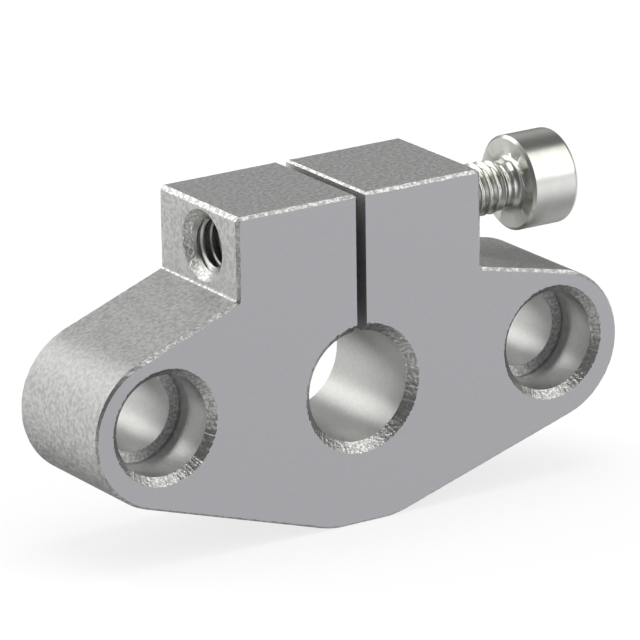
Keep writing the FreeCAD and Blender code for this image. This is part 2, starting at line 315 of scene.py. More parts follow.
def placed(shape: BMesh, name: str, finishes: Iterable[Material], zone: Zone = Zone.BLASTED) -> Object:
    """Put a shape in the scene as an object, still in millimetres.

    Args:
        shape: the mesh, which is used up.
        name: the object's name.
        finishes: materials for its slots.
        zone: the slot that faces with no place of their own take.

    Returns:
        The object.
    """
    for face in shape.faces:
        face.material_index = face.material_index or zone.value
        face.smooth = True
    mesh = bpy.data.meshes.new(name)
    for finish in finishes:
        mesh.materials.append(finish)
    shape.to_mesh(mesh)
    shape.free()
    thing = bpy.data.objects.new(name, mesh)
    bpy.context.scene.collection.objects.link(thing)
    return thing


def worked(blank: Object, tools: Iterable[Object], how: str) -> None:
    """Cut tools out of a blank, or join them to it, and clear the tools away.

    Args:
        blank: the object that is worked on.
        tools: the closed objects it is worked with.
        how: the Boolean modifier's operation.
    """
    tools = list(tools)
    for tool in tools:
        step = blank.modifiers.new(tool.name, "BOOLEAN")
        step.operation = how
        step.solver = "EXACT"
        step.object = tool
    shaped = blank.evaluated_get(bpy.context.evaluated_depsgraph_get())
    before, blank.data = blank.data, bpy.data.meshes.new_from_object(shaped)
    blank.modifiers.clear()
    for mesh in [before] + [tool.data for tool in tools]:
        bpy.data.meshes.remove(mesh)


def finished(thing: Object, crease_deg: float) -> Object:
    """Weld and scale a piece's mesh to metres, mark its creases and even out its shading.

    Args:
        thing: the piece, in millimetres.
        crease_deg: faces that meet at more than this angle stay crisp.

    Returns:
        The same piece.
    """
    shape = bmesh.new()
    shape.from_mesh(thing.data)
    bmesh.ops.remove_doubles(shape, verts=shape.verts[:], dist=WELD)
    bmesh.ops.dissolve_degenerate(shape, edges=shape.edges[:], dist=WELD)
    open_edges = sum(not edge.is_manifold for edge in shape.edges)
    for edge in shape.edges:
        edge.smooth = edge.calc_face_angle(0.0) < math.radians(crease_deg)
    for face in shape.faces:
        face.smooth = True
    bmesh.ops.scale(shape, vec=Vector((MM, MM, MM)), verts=shape.verts[:])
    shape.to_mesh(thing.data)
    triangles = sum(len(face.verts) - 2 for face in shape.faces)
    shape.free()
    even = thing.modifiers.new("even_shading", "WEIGHTED_NORMAL")
    even.keep_sharp = True
    LOG.info("%s: %d triangles, %d open edges", thing.name, triangles, open_edges)
    return thing


# Shader values

# Limits between which noise becomes patches that cover about half of a surface.
EVEN_PATCHES = (0.35, 0.65)


def operator(operation: str, swapped: bool = False) -> Callable[[Signal, object], Signal]:
    """Make the method for one of Python's operators.

    Args:
        operation: the Math node's operation.
        swapped: whether the other value comes first, as in a reflected operator.

    Returns:
        The method, which adds the node and gives its output.
    """
    def method(signal: Signal, other: object) -> Signal:
        return signal.combined(operation, *((other, signal) if swapped else (signal, other)))

    return method


class Signal:
    """A node's output that Python's operators work on. Each operator adds a Math node."""

    __add__, __radd__ = operator("ADD"), operator("ADD", swapped=True)
    __sub__, __rsub__ = operator("SUBTRACT"), operator("SUBTRACT", swapped=True)
    __mul__, __rmul__ = operator("MULTIPLY"), operator("MULTIPLY", swapped=True)
    __pow__ = operator("POWER")

    def __init__(self, bench: Bench, socket: NodeSocket) -> None:
        """Wrap a socket of the bench's tree."""
        self.bench = bench
        self.socket = socket

    def combined(self, operation: str, *values: object) -> Signal:
        """A Math node on the values in order."""
        return self.bench.node("ShaderNodeMath", {"operation": operation}, dict(enumerate(values)))

    def clipped(self) -> Signal:
        """This value, or 0 where it is less."""
        return self.combined("MAXIMUM", self, 0.0)

    def ramped(self, low: float, high: float) -> Signal:
        """This value's place between two limits, from 0 to 1, eased at both ends."""
        return self.bench.node("ShaderNodeMapRange", {"interpolation_type": "SMOOTHSTEP"},
                               {"Value": self, "From Min": low, "From Max": high})


class Bench:
    """One node tree, with one way to make any of its nodes."""

    def __init__(self, tree: NodeTree) -> None:
        """Clear the tree for new nodes."""
        self.tree = tree
        tree.nodes.clear()

    def node(self, kind: str, settings: dict | None = None, inputs: dict | None = None,
             output: str | int = 0) -> Signal:
        """Make a node.

        Args:
            kind: the node's type.
            settings: its own properties, set before its sockets.
            inputs: values or signals by socket name or place.
            output: the output wanted, by name or place.

        Returns:
            The output, as a signal.
        """
        made = self.tree.nodes.new(kind)
        for name, value in (settings or {}).items():
            setattr(made, name, value)
        for key, value in (inputs or {}).items():
            if isinstance(value, Signal):
                self.tree.links.new(value.socket, made.inputs[key])
            else:
                made.inputs[key].default_value = value
        return Signal(self, made.outputs[output] if len(made.outputs) else None)

    def place(self, stretch: Sequence[float] = (1.0, 1.0, 1.0)) -> Signal:
        """The surface point in the model's frame, in millimetres, stretched along each axis."""
        point = self.node("ShaderNodeTexCoord", output="Object")
        return self.vector("MULTIPLY", point, tuple(factor / MM for factor in stretch))

    def speckle(self, place: Signal, size_mm: float, detail: float = 2.0) -> Signal:
        """Noise from 0 to 1 whose patches, half a wave each, are about the given size."""
        return self.node("ShaderNodeTexNoise", {"noise_dimensions": "3D"},
                         {"Vector": place, "Scale": 0.5 / size_mm, "Detail": detail}, "Fac")

    def bumped(self, height: Signal, depth_mm: float) -> Signal:
        """A normal that follows a height of 0 to 1 with the given real depth."""
        return self.node("ShaderNodeBump", inputs={"Height": height, "Strength": 1.0,
                                                   "Distance": depth_mm * MM})

    def vector(self, operation: str, *values: object, output: str = "Vector") -> Signal:
        """A Vector Math node on the values in order."""
        return self.node("ShaderNodeVectorMath", {"operation": operation}, dict(enumerate(values)),
                         output)

    def blend(self, share: Signal, first: Sequence[float], second: Sequence[float]) -> Signal:
        """A colour between two, which goes to the second as the share goes to 1."""
        return self.node("ShaderNodeMix", {"data_type": "RGBA"},
                         {0: share, 6: (*first, 1.0), 7: (*second, 1.0)}, 2)

    def surface(self, shader: Signal, kind: str = "ShaderNodeOutputMaterial") -> None:
        """Send a shader to the tree's output."""
        self.node(kind, inputs={"Surface": shader})


def new_material(name: str) -> tuple[Material, Bench]:
    """An empty material and the bench for its nodes."""
    material = bpy.data.materials.new(name)
    material.use_nodes = True
    return material, Bench(material.node_tree)


class Finish(ABC):
    """How a metal surface was left."""

    @abstractmethod
    def layers(self, bench: Bench) -> tuple[Signal, Signal, Signal]:
        """Its colour, its roughness and its normal."""

    def material(self, name: str) -> Material:
        """Make the finish as a material."""
        material, bench = new_material(name)
        colour, roughness, normal = self.layers(bench)
        bench.surface(bench.node("ShaderNodeBsdfPrincipled", inputs={
            "Base Color": colour, "Metallic": 1.0, "Roughness": roughness, "Normal": normal}))
        return material


@dataclass(frozen=True)
class Blasted(Finish):
    """Bead blasted, clear anodised aluminium: a fine matt grain.

    Attributes:
        colour: the metal's colour between the grains.
        grain_colour: its colour on the grains.
        roughness: roughness between the grains and on them.
        grain_mm: size of a grain.
        depth_mm: depth of the grain.
        detail: how much finer structure the grain has.
        limits: the noise's values from which a grain begins and where it is whole.
    """

    colour: Colour
    grain_colour: Colour
    roughness: tuple[float, float]
    grain_mm: float
    depth_mm: float
    detail: float = 3.0
    limits: tuple[float, float] = EVEN_PATCHES

    def layers(self, bench: Bench) -> tuple[Signal, Signal, Signal]:
        """Its colour, its roughness and its normal."""
        grain = bench.speckle(bench.place(), self.grain_mm, self.detail)
        share = grain.ramped(*self.limits)
        between, on = self.roughness
        return (bench.blend(share, self.colour, self.grain_colour), between + (on - between) * share,
                bench.bumped(grain, self.depth_mm))


@dataclass(frozen=True)
class BrokenEdge(Blasted):
    """An edge that was broken after blasting: the grains are rough, uneven patches of bright metal."""

    detail: float = 4.0
    limits: tuple[float, float] = (0.42, 0.60)


@dataclass(frozen=True)
class CutAluminium(Finish):
    """Bare cut aluminium with the tool's lines.

    Attributes:
        colour: the metal's colour.
        roughness: the metal's roughness between the lines.
        line_mm: spacing of the lines.
        stretch: how much finer the lines are along each axis than round the cut.
        depth_mm: depth of the lines.
        fleck_mm: size of the darker flecks.
        fleck_shade: brightness of a fleck, as a share of the metal's colour.
        line_roughness: what a line adds to the roughness.
    """

    colour: Colour
    roughness: float
    line_mm: float = 0.16
    stretch: tuple[float, float, float] = (1.0, 2.0, 1.0)
    depth_mm: float = 0.006
    fleck_mm: float = 0.12
    fleck_shade: float = 0.93
    line_roughness: float = 0.06

    def layers(self, bench: Bench) -> tuple[Signal, Signal, Signal]:
        """Its colour, its roughness and its normal."""
        lines = bench.speckle(bench.place(self.stretch), self.line_mm)
        fleck = bench.speckle(bench.place(), self.fleck_mm)
        shade = tuple(self.fleck_shade * channel for channel in self.colour)
        return (bench.blend(fleck.ramped(*EVEN_PATCHES), shade, self.colour),
                self.roughness + self.line_roughness * lines, bench.bumped(lines, self.depth_mm))


@dataclass(frozen=True)
class PlatedSteel(Finish):
    """Bright plated steel, slightly yellow, with faint drawn lines.

    Attributes:
        colour: the plating's colour.
        tint: its colour where the plating is thicker.
        roughness: its roughness.
        cloud_roughness: what thicker plating adds to it.
        cloud_mm: size of the thicker patches, and of a drawn line along the screw.
        line_stretch: how much finer the drawn lines are along each axis.
        line_depth_mm: depth of the drawn lines.
    """

    colour: Colour = (0.64, 0.64, 0.61)
    tint: Colour = (0.60, 0.61, 0.56)
    roughness: float = 0.2
    cloud_roughness: float = 0.08
    cloud_mm: float = 0.6
    line_stretch: tuple[float, float, float] = (9.0, 1.0, 1.0)
    line_depth_mm: float = 0.0015

    def layers(self, bench: Bench) -> tuple[Signal, Signal, Signal]:
        """Its colour, its roughness and its normal."""
        cloud = bench.speckle(bench.place(), self.cloud_mm, detail=3.0)
        lines = bench.speckle(bench.place(self.line_stretch), self.cloud_mm)
        return (bench.blend(cloud.ramped(*EVEN_PATCHES), self.colour, self.tint),
                self.roughness + self.cloud_roughness * cloud,
                bench.bumped(lines, self.line_depth_mm))


# The block

@dataclass
class SupportBlock:
    """The flanged block with its two ears.

    Attributes:
        datum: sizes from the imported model.
        neck_width: across both ears.
        joint_heights: where each ear's side face meets the flange, left then right.
        foot_width: flat under the block.
        foot_blend: how far the soft curve at each end of that flat reaches from the corner.
        blend_points: points along that curve.
        lobe_radius: round end of the flange.
        slot_width: saw slot.
        edge_radius: rounding of the outer edges.
        edge_step: spacing of the points along a broken edge.
        edge_wander: how far those points leave the true edge.
        lobe_sharpness: share of the rounding that the edges of the lobes and the foot lack.
        ear_sharpness: share of the rounding that the edges of the ears' faces lack.
        slot_sharpness: share of the rounding that the slot's top edges lack.
        inner_radius: fillet in the corner between an ear and the flange.
        inner_steps: facets across that fillet.
        bore_chamfer: chamfer at each end of the shaft bore.
        counterbore_radius: wide part of a mounting hole.
        counterbore_depth: wide part of a mounting hole, from the front face.
        counterbore_chamfer: chamfer at a counterbore's mouth.
        relief: groove round a counterbore's floor.
        back_chamfer: chamfer where a mounting hole leaves the back face.
        chatter: farthest that the countersinks shook at their rims.
        chatter_rate: how many steps of that shake come to a millimetre.
        cross_drop: top of the ears to the axis of the screw's hole.
        cross_inset: front face to the axis of the screw's hole.
        tapped_radius: tapped hole, over the roots of its thread.
        tapped_minor: tapped hole, over the crests of its thread.
        tapped_chamfer: countersink at the tapped hole's mouth, beyond its radius.
        tapped_sink: depth of that countersink.
        tapped_shown: length of thread cut behind the mouth.
        tip_short: how far the screw's tip stops short of the mouth when its head is home.
        pitch: the thread's pitch.
        plain_radius: plain hole in the other ear.
        plain_chamfer: chamfer at the plain hole's mouth.
        facets: facets round a hole.
        crease_deg: faces that meet at more than this angle stay crisp.
    """

    datum: Datum
    neck_width: float = 20.0
    joint_heights: tuple[float, float] = (8.1, 6.9)
    foot_width: float = 5.3
    foot_blend: float = 1.0
    blend_points: int = 7
    lobe_radius: float = 5.5
    slot_width: float = 0.8
    edge_radius: float = 0.3
    edge_step: float = 0.3
    edge_wander: float = 0.04
    lobe_sharpness: float = 0.5
    ear_sharpness: float = 0.25
    slot_sharpness: float = 0.5
    inner_radius: float = 0.14
    inner_steps: int = 4
    bore_chamfer: float = 0.65
    counterbore_radius: float = 3.6
    counterbore_depth: float = 4.0
    counterbore_chamfer: float = 0.55
    relief: float = 0.1
    back_chamfer: float = 0.3
    chatter: float = 0.14
    chatter_rate: float = 11.3
    cross_drop: float = 3.0
    cross_inset: float = 4.5
    tapped_radius: float = 2.0
    tapped_minor: float = 1.66
    tapped_chamfer: float = 0.55
    tapped_sink: float = 0.5
    tapped_shown: float = 3.2
    tip_short: float = 0.02
    pitch: float = 0.7
    plain_radius: float = 2.25
    plain_chamfer: float = 0.3
    facets: int = 256
    crease_deg: float = 28.0

    @property
    def edge_longest(self) -> float:
        """Greatest spacing that is left between points along an edge."""
        return 1.5 * self.edge_step

    @property
    def cross_axis(self) -> Vector:
        """Where the screw's axis crosses the slot."""
        return Vector((0.0, self.datum.low.y + self.cross_inset, self.datum.high.z - self.cross_drop))

    def beside(self, side: int, y: float = 0.0, z: float = 0.0) -> Vector:
        """A point level with a mounting hole along X: -1 for the left one, 1 for the right one."""
        return Vector((side * self.datum.hole_spacing / 2, y, z))

    def touch_angle(self, corner: Vector, side: int, upper: bool) -> float:
        """Find where a straight side from a corner touches a lobe.

        Args:
            corner: the straight side's other end.
            side: -1 for the left lobe, 1 for the right one.
            upper: whether the side lies over the flange.

        Returns:
            The angle on the lobe, from X towards Z.
        """
        away = corner - self.beside(side)
        half = math.acos(self.lobe_radius / math.hypot(away.x, away.z))
        middle = math.atan2(away.z, away.x)
        return (max if upper else min)((middle + half, middle - half), key=math.sin)

    def lobe(self, shape: BMesh, side: int, over: Vector, under: Vector) -> list[BMVert]:
        """Add a lobe's arc to the outline.

        Args:
            shape: the outline so far.
            side: -1 for the left lobe, 1 for the right one.
            over: the corner that the upper straight side comes from.
            under: the corner that the lower straight side comes from.

        Returns:
            The arc's first and last point, in the order of the outline.
        """
        angles = [self.touch_angle(over, side, True), self.touch_angle(under, side, False)]
        start, end = angles if side < 0 else reversed(angles)
        sweep = (end - start) % math.tau
        centre = self.beside(side, over.y)
        spoke = Vector((math.cos(start), 0.0, math.sin(start))) * self.lobe_radius
        seed = shape.verts.new(centre + spoke)
        steps = math.ceil(sweep * self.lobe_radius / self.edge_step)
        spun = bmesh.ops.spin(shape, geom=[seed], cent=centre, axis=-Axis.Y.along,
                              angle=sweep, steps=steps)
        first = min(shape.verts, key=lambda vert: (vert.co - centre - spoke).length)
        return [first, points(spun["geom_last"])[0]]

    def blended(self, shape: BMesh, before: Vector, corner: Vector, after: Vector) -> list[BMVert]:
        """Draw one corner of the foot as a soft curve.

        Args:
            shape: the outline so far.
            before: the outline's point before the corner.
            corner: where the two straight sides would meet.
            after: the outline's point after the corner.

        Returns:
            The curve's points, in the order of the outline.
        """
        ends = [corner + (point - corner).normalized() * self.foot_blend for point in (before, after)]
        # Two thirds of the way, the curve's two handles act as one that stands in the corner.
        pulls = [end.lerp(corner, 2.0 / 3.0) for end in ends]
        return [shape.verts.new(point)
                for point in interpolate_bezier(ends[0], *pulls, ends[1], self.blend_points)]

    def outline(self, shape: BMesh) -> None:
        """Draw the front outline, with the slot open at the top, in the plane of the front face."""
        front, top, bottom = self.datum.low.y, self.datum.high.z, self.datum.low.z
        neck, foot, slot = self.neck_width / 2, self.foot_width / 2, self.slot_width / 2
        left_joint, right_joint = self.joint_heights

        def corner(x: float, z: float) -> BMVert:
            return shape.verts.new((x, front, z))

        left_foot, right_foot = (Vector((x, front, bottom)) for x in (-foot, foot))
        right = [corner(neck, right_joint), corner(neck, top), corner(slot, top), corner(slot, 0.0)]
        left = [corner(-slot, 0.0), corner(-slot, top), corner(-neck, top), corner(-neck, left_joint)]
        right_lobe = self.lobe(shape, 1, right[0].co, right_foot)
        left_lobe = self.lobe(shape, -1, left[-1].co, left_foot)
        feet = (self.blended(shape, left_lobe[1].co, left_foot, right_foot)
                + self.blended(shape, left_foot, right_foot, right_lobe[0].co))
        stretches = ([left_lobe[1]] + feet + [right_lobe[0]], [right_lobe[1]] + right,
                     [right[-1], left[0]], left + [left_lobe[0]])
        for stretch in stretches:
            for pair in zip(stretch, stretch[1:]):
                shape.edges.new(pair)
        split(shape, self.edge_longest,
              lambda edge: max(abs(vert.co.x) for vert in edge.verts) > slot + WELD)
        bmesh.ops.edgeloop_fill(shape, edges=shape.edges[:])

    def broken_edges(self, shape: BMesh) -> None:
        """Round the outer edges of the blank, unevenly, as a hand tool leaves them."""
        front, back, top = self.datum.low.y, self.datum.high.y, self.datum.high.z
        slot = self.slot_width / 2

        def along_top(edge: BMEdge) -> bool:
            level = all(abs(vert.co.z - top) < WELD for vert in edge.verts)
            return level and abs(edge.verts[0].co.x - edge.verts[1].co.x) < WELD

        def on_face(edge: BMEdge) -> bool:
            flat = any(all(abs(vert.co.y - y) < WELD for vert in edge.verts) for y in (front, back))
            beside_slot = any(abs(vert.co.x) > slot + WELD for vert in edge.verts)
            return flat and (beside_slot or all(vert.co.z < -WELD for vert in edge.verts))

        split(shape, self.edge_longest, along_top)
        inner = [edge for edge in shape.edges if edge.calc_face_angle() < FLAT]
        bmesh.ops.dissolve_edges(shape, edges=inner, use_verts=False)
        chosen = [edge for edge in shape.edges if on_face(edge) or along_top(edge)]
        rounding = set(bevelled(shape, chosen, self.edge_radius, 1))
        marked(rounding, Zone.BROKEN_EDGE_AND_CORNER_HIGHLIGHT)
        for vert in {vert for face in rounding for vert in face.verts}:
            step = noise.noise_vector(vert.co / self.edge_step) * self.edge_wander
            step += self.left_sharp(vert, rounding)
            for face in vert.link_faces:
                if face not in rounding:
                    step -= face.normal * step.dot(face.normal)
            limits = zip(vert.co + step, self.datum.low, self.datum.high)
            vert.co = [min(max(value, least), most) for value, least, most in limits]

    def left_sharp(self, vert: BMVert, rounding: set[BMFace]) -> Vector:
        """Tell how a broken edge's point moves where the hand tool was only passed over lightly.

        Edges that run from front to back along the top keep their full rounding beside the ears.
        The ears' face edges keep most of it, and those of the slot, the lobes and the foot the least.

        Args:
            vert: a point at a side of the broken edge.
            rounding: the faces of all broken edges.

        Returns:
            Its move towards the sharp edge.
        """
        middle = (self.datum.low.y + self.datum.high.y) / 2
        half = self.datum.high.y - middle
        face_side = math.copysign(1.0, vert.co.y - middle)
        depth = abs(vert.co.y - middle)
        near_face = depth > half - self.edge_radius - WELD
        if abs(vert.co.x) < self.slot_width / 2 + self.edge_radius + WELD and vert.co.z > 0.0:
            corner = Vector((math.copysign(self.slot_width / 2, vert.co.x),
                             middle + half * face_side if near_face else vert.co.y,
                             self.datum.high.z))
            return (corner - vert.co) * self.slot_sharpness
        round_lobe = (abs(vert.co.x) - self.datum.hole_spacing / 2) / self.lobe_radius
        below = -vert.co.z / self.lobe_radius
        share = max(self.lobe_sharpness * min(max(round_lobe, below, 0.0), 1.0), self.ear_sharpness)
        slope = sum((face.normal for face in vert.link_faces if face in rounding), Vector())
        away = Vector((slope.x, 0.0, slope.z))
        if away.length < WELD or not near_face:
            return Vector()
        if depth > half - WELD:
            return away.normalized() * share * self.edge_radius
        return Axis.Y.along * face_side * share * self.edge_radius

    def blank(self) -> BMesh:
        """The milled and sawn block with its edges broken, before any hole."""
        shape = bmesh.new()
        self.outline(shape)
        depth = self.datum.high.y - self.datum.low.y
        made = bmesh.ops.extrude_face_region(shape, geom=shape.faces[:])
        bmesh.ops.translate(shape, vec=Axis.Y.along * depth, verts=points(made["geom"]))
        for face in outwards(shape).faces:
            if abs(face.normal.y) < SIDE_LEAN:
                sawn = abs(face.calc_center_median().x) < self.slot_width / 2 + WELD
                face.material_index = (Zone.SAWN if sawn else Zone.OUTLINE).value
        corners = [edge for edge in shape.edges
                   if not edge.is_convex and edge.calc_face_angle() > CORNER
                   and abs(edge.verts[0].co.x) > self.slot_width]
        # The inner corner fillets take the broken edges' brighter material: a painted highlight along these
        # corners.
        marked(bevelled(shape, corners, self.inner_radius, self.inner_steps), Zone.BROKEN_EDGE_AND_CORNER_HIGHLIGHT)
        self.broken_edges(shape)
        return outwards(shape)

    def drilled(self, profile: Profile, centre: Vector, mouth: float) -> BMesh:
        """Turn a cutter about Y, and mark its cones and steps, which leave rougher surfaces.

        Args:
            profile: distance along Y and radius of each corner, from one pole to the other.
            centre: a point on its axis.
            mouth: radius beyond which the countersink shook, by steps that never repeat.

        Returns:
            The cutter.
        """
        shape = turned(profile, Axis.Y, centre, self.facets)
        for face in shape.faces:
            slope = abs(face.normal.y)
            if slope > SIDE_LEAN:
                face.material_index = (Zone.COUNTERSUNK if slope < SQUARE_LEAN else Zone.SPOT_FACED).value
        for vert in shape.verts:
            spoke = Vector((vert.co.x - centre.x, 0.0, vert.co.z - centre.z))
            if spoke.length > mouth:
                vert.co += spoke.normalized() * (self.chatter * noise.noise(vert.co * self.chatter_rate))
        return shape

    def shaft_bore(self) -> BMesh:
        """What the boring tool takes out, with a chamfer at each end."""
        front, back, radius = self.datum.low.y, self.datum.high.y, self.datum.bore_radius
        mouth = radius + self.bore_chamfer
        profile = [(front - OVER, 0.0), (front - OVER, mouth + OVER), (front + self.bore_chamfer, radius),
                   (back - self.bore_chamfer, radius), (back + OVER, mouth + OVER), (back + OVER, 0.0)]
        return self.drilled(profile, Vector(), mouth)

    def mounting_hole(self, side: int) -> BMesh:
        """What the stepped drill takes out on one side: -1 for the left, 1 for the right."""
        front, back = self.datum.low.y, self.datum.high.y
        wide, narrow = self.counterbore_radius, self.datum.hole_radius
        floor = front + self.counterbore_depth
        profile = [(front - OVER, 0.0),
                   (front - OVER, wide + self.counterbore_chamfer + OVER),
                   (front + self.counterbore_chamfer, wide),
                   (floor + self.relief, wide),
                   (floor + self.relief, wide - self.relief),
                   (floor, wide - self.relief),
                   (floor, narrow),
                   (back - self.back_chamfer, narrow),
                   (back + OVER, narrow + self.back_chamfer + OVER),
                   (back + OVER, 0.0)]
        centre = self.beside(side, z=self.datum.hole_rise)
        shape = self.drilled(profile, centre, wide + self.counterbore_chamfer)
        # The counterbore's walls take a far lighter copy of the bored metal: painted light on walls that
        # lie in shade.
        marked((face for face in shape.faces
                if not face.material_index and face.calc_center_median().y < floor), Zone.COUNTERBORE_PAINTED_LIGHT)
        return shape

    def plain_hole(self) -> BMesh:
        """What the drill takes out of the right ear."""
        mouth = self.neck_width / 2
        wide = self.plain_radius + self.plain_chamfer + OVER
        profile = [(0.0, 0.0), (0.0, self.plain_radius), (mouth - self.plain_chamfer, self.plain_radius),
                   (mouth + OVER, wide), (mouth + OVER, 0.0)]
        return turned(profile, Axis.X, self.cross_axis, self.facets)

    def tapped_hole(self) -> BMesh:
        """What drill and tap take out of the left ear.

        The thread stands behind the mouth, in step with the screw's own when the head is home.
        Deeper in, the hole has its full width, so that the screw can slide past.
        """
        mouth = -self.neck_width / 2
        thread = Thread(self.cross_axis, self.pitch, self.tapped_minor, self.tapped_radius,
                        mouth + self.tip_short + self.pitch / 2)

        def limit(along: float, radius: float) -> float:
            chamfer = self.tapped_radius + self.tapped_chamfer * (1.0 - (along - mouth) / self.tapped_sink)
            deep = self.tapped_radius if along > mouth + self.tapped_shown else 0.0
            return max(radius, chamfer, deep)

        shape = thread.rod(mouth - OVER, 0.0, limit)
        marked((face for face in shape.faces if face.calc_center_median().x < mouth + self.tapped_sink),
               Zone.COUNTERSUNK)
        return shape

    def build(self, finishes: Sequence[Material]) -> Object:
        """Model the block.

        Args:
            finishes: one material for each zone, in order.

        Returns:
            The finished piece.
        """
        block = placed(self.blank(), "support_block", finishes)
        cuts = {"shaft_bore": (self.shaft_bore(), Zone.REAMED),
                "left_hole": (self.mounting_hole(-1), Zone.BORED),
                "right_hole": (self.mounting_hole(1), Zone.BORED),
                "plain_hole": (self.plain_hole(), Zone.TAPPED),
                "tapped_hole": (self.tapped_hole(), Zone.TAPPED)}
        worked(block, [placed(shape, name, finishes, zone) for name, (shape, zone) in cuts.items()],
               "DIFFERENCE")
        return finished(block, self.crease_deg)

    def dress(self) -> list[Material]:
        """The block's materials, one for each zone in order."""
        finishes = {
            "blasted_aluminium":
                Blasted((0.43, 0.43, 0.435), (0.46, 0.46, 0.465), (0.48, 0.54), 0.13, 0.009),
            # Bare metal of the broken edges, also put on the inner corner fillets as a painted highlight.
            "broken_edge_and_corner_highlight":
                BrokenEdge((0.42, 0.42, 0.42), (0.66, 0.66, 0.65), (0.42, 0.32), 0.13, 0.03),
            "bored_aluminium": CutAluminium((0.50, 0.50, 0.495), 0.38),
            "tapped_aluminium": CutAluminium((0.46, 0.46, 0.45), 0.26, 0.3, (1.0, 1.0, 1.0)),
            "sawn_aluminium": CutAluminium((0.54, 0.54, 0.54), 0.5, 0.5, (1.0, 2.0, 14.0), 0.01),
            "countersunk_aluminium":
                BrokenEdge((0.44, 0.44, 0.43), (0.66, 0.66, 0.64), (0.38, 0.28), 0.11, 0.05),
            "spot_faced_aluminium":
                BrokenEdge((0.46, 0.46, 0.455), (0.70, 0.70, 0.69), (0.46, 0.36), 0.12, 0.02),
            "blasted_outline":
                Blasted((0.385, 0.385, 0.385), (0.515, 0.515, 0.51), (0.46, 0.54), 0.14, 0.02),
            # A lighter copy of the bored metal: painted light for the counterbore walls.
            "counterbore_wall_painted_light": CutAluminium((0.74, 0.74, 0.73), 0.34),
            "reamed_aluminium": CutAluminium((0.47, 0.47, 0.465), 0.32),
        }
        return [finish.material(name) for name, finish in finishes.items()]


# The screw

@dataclass
class ClampScrew:
    """The socket head screw, backed out of the tapped ear.

    Attributes:
        datum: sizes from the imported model.
        length: under the head.
        pitch: of the thread.
        crest: radius over the thread.
        root: radius at the bottom of the thread.
        neck_radius: radius of the plain neck under the head.
        neck_length: plain neck, from the head.
        run_out: length over which the thread fades into the neck.
        neck_fillet: fillet between neck and head.
        tip_chamfer: chamfer at the tip.
        tip_least: least radius that the chamfer may leave.
        seat_chamfer: chamfer round the head's seat.
        head_round: rounding of the head's outer rim.
        head_steps: facets across that rounding.
        socket_width: hexagon socket, across its flats.
        socket_depth: hexagon socket.
        socket_point: depth of the drill point under the socket.
        facets: facets round the head.
        crease_deg: faces that meet at more than this angle stay crisp.
    """

    datum: Datum
    length: float = 20.0
    pitch: float = 0.7
    crest: float = 1.93
    root: float = 1.57
    neck_radius: float = 1.74
    neck_length: float = 0.9
    run_out: float = 0.8
    neck_fillet: float = 0.6
    tip_chamfer: float = 0.5
    tip_least: float = 0.5
    seat_chamfer: float = 0.2
    head_round: float = 0.4
    head_steps: int = 6
    socket_width: float = 3.0
    socket_depth: float = 2.0
    socket_point: float = 0.5
    facets: int = 128
    crease_deg: float = 40.0

    @property
    def seat(self) -> Vector:
        """The middle of the head's seat."""
        middle = (self.datum.screw_low + self.datum.screw_high) / 2
        return Vector((self.datum.screw_low.x + self.length, middle.y, middle.z))

    @property
    def head_radius(self) -> float:
        """Half the head's width."""
        return (self.datum.screw_high.z - self.datum.screw_low.z) / 2

    @property
    def head_height(self) -> float:
        """The head along its axis."""
        return self.datum.screw_high.x - self.seat.x

    def shank(self) -> BMesh:
        """The threaded shank, with its tip and its plain neck, up into the head."""
        seat, tip = self.seat.x, self.seat.x - self.length
        thread = Thread(self.seat, self.pitch, self.root, self.crest, tip + self.pitch / 2)

        def limit(along: float, radius: float) -> float:
            point = self.crest - self.tip_chamfer + (along - tip)
            rise = (along - (seat - self.neck_length - self.run_out)) / self.run_out
            share = min(max(rise, 0.0), 1.0)
            grown = radius + (self.neck_radius - radius) * share
            near = min(max(along - (seat - self.neck_fillet), 0.0), self.neck_fillet)
            flare = self.neck_fillet - math.sqrt(self.neck_fillet ** 2 - near ** 2)
            return min(grown + flare, max(point, self.tip_least))

        return thread.rod(tip, seat + OVER, limit)

    def head(self) -> BMesh:
        """The head, with its rims finished."""
        profile = [(0.0, 0.0), (0.0, self.head_radius), (self.head_height, self.head_radius),
                   (self.head_height, 0.0)]
        shape = turned(profile, Axis.X, self.seat, self.facets)
        for along, size, segments in ((0.0, self.seat_chamfer, 1),
                                      (self.head_height, self.head_round, self.head_steps)):
            place = self.seat.x + along
            rim = [edge for edge in shape.edges
                   if all(abs(vert.co.x - place) < WELD for vert in edge.verts)
                   and all((vert.co - self.seat - Axis.X.along * along).length > self.head_radius - WELD
                           for vert in edge.verts)]
            bevelled(shape, rim, size, segments)
        return shape

    def socket(self) -> BMesh:
        """What the punch takes out of the head: a hexagon with a pointed bottom."""
        shape = bmesh.new()
        corner = self.socket_width / math.sqrt(3.0)
        floor = self.seat.x + self.head_height - self.socket_depth
        depth = self.socket_depth + OVER
        bmesh.ops.create_cone(shape, cap_ends=True, segments=6, radius1=corner, radius2=corner, depth=depth,
                              matrix=Matrix.Translation((floor + depth / 2, self.seat.y, self.seat.z))
                              @ Matrix.Rotation(math.pi / 2, 4, "Y"))
        bottom = min(shape.faces, key=lambda face: face.calc_center_median().x)
        bmesh.ops.poke(shape, faces=[bottom], offset=self.socket_point)
        return outwards(shape)

    def build(self, finishes: Sequence[Material]) -> Object:
        """Model the screw.

        Args:
            finishes: the screw's material, alone.

        Returns:
            The finished piece.
        """
        screw = placed(self.head(), "clamp_screw_bright", finishes)
        worked(screw, [placed(self.shank(), "shank", finishes)], "UNION")
        worked(screw, [placed(self.socket(), "socket", finishes)], "DIFFERENCE")
        return finished(screw, self.crease_deg)

    def dress(self) -> list[Material]:
        """The screw's material."""
        return [PlatedSteel().material("plated_steel")]


# The studio

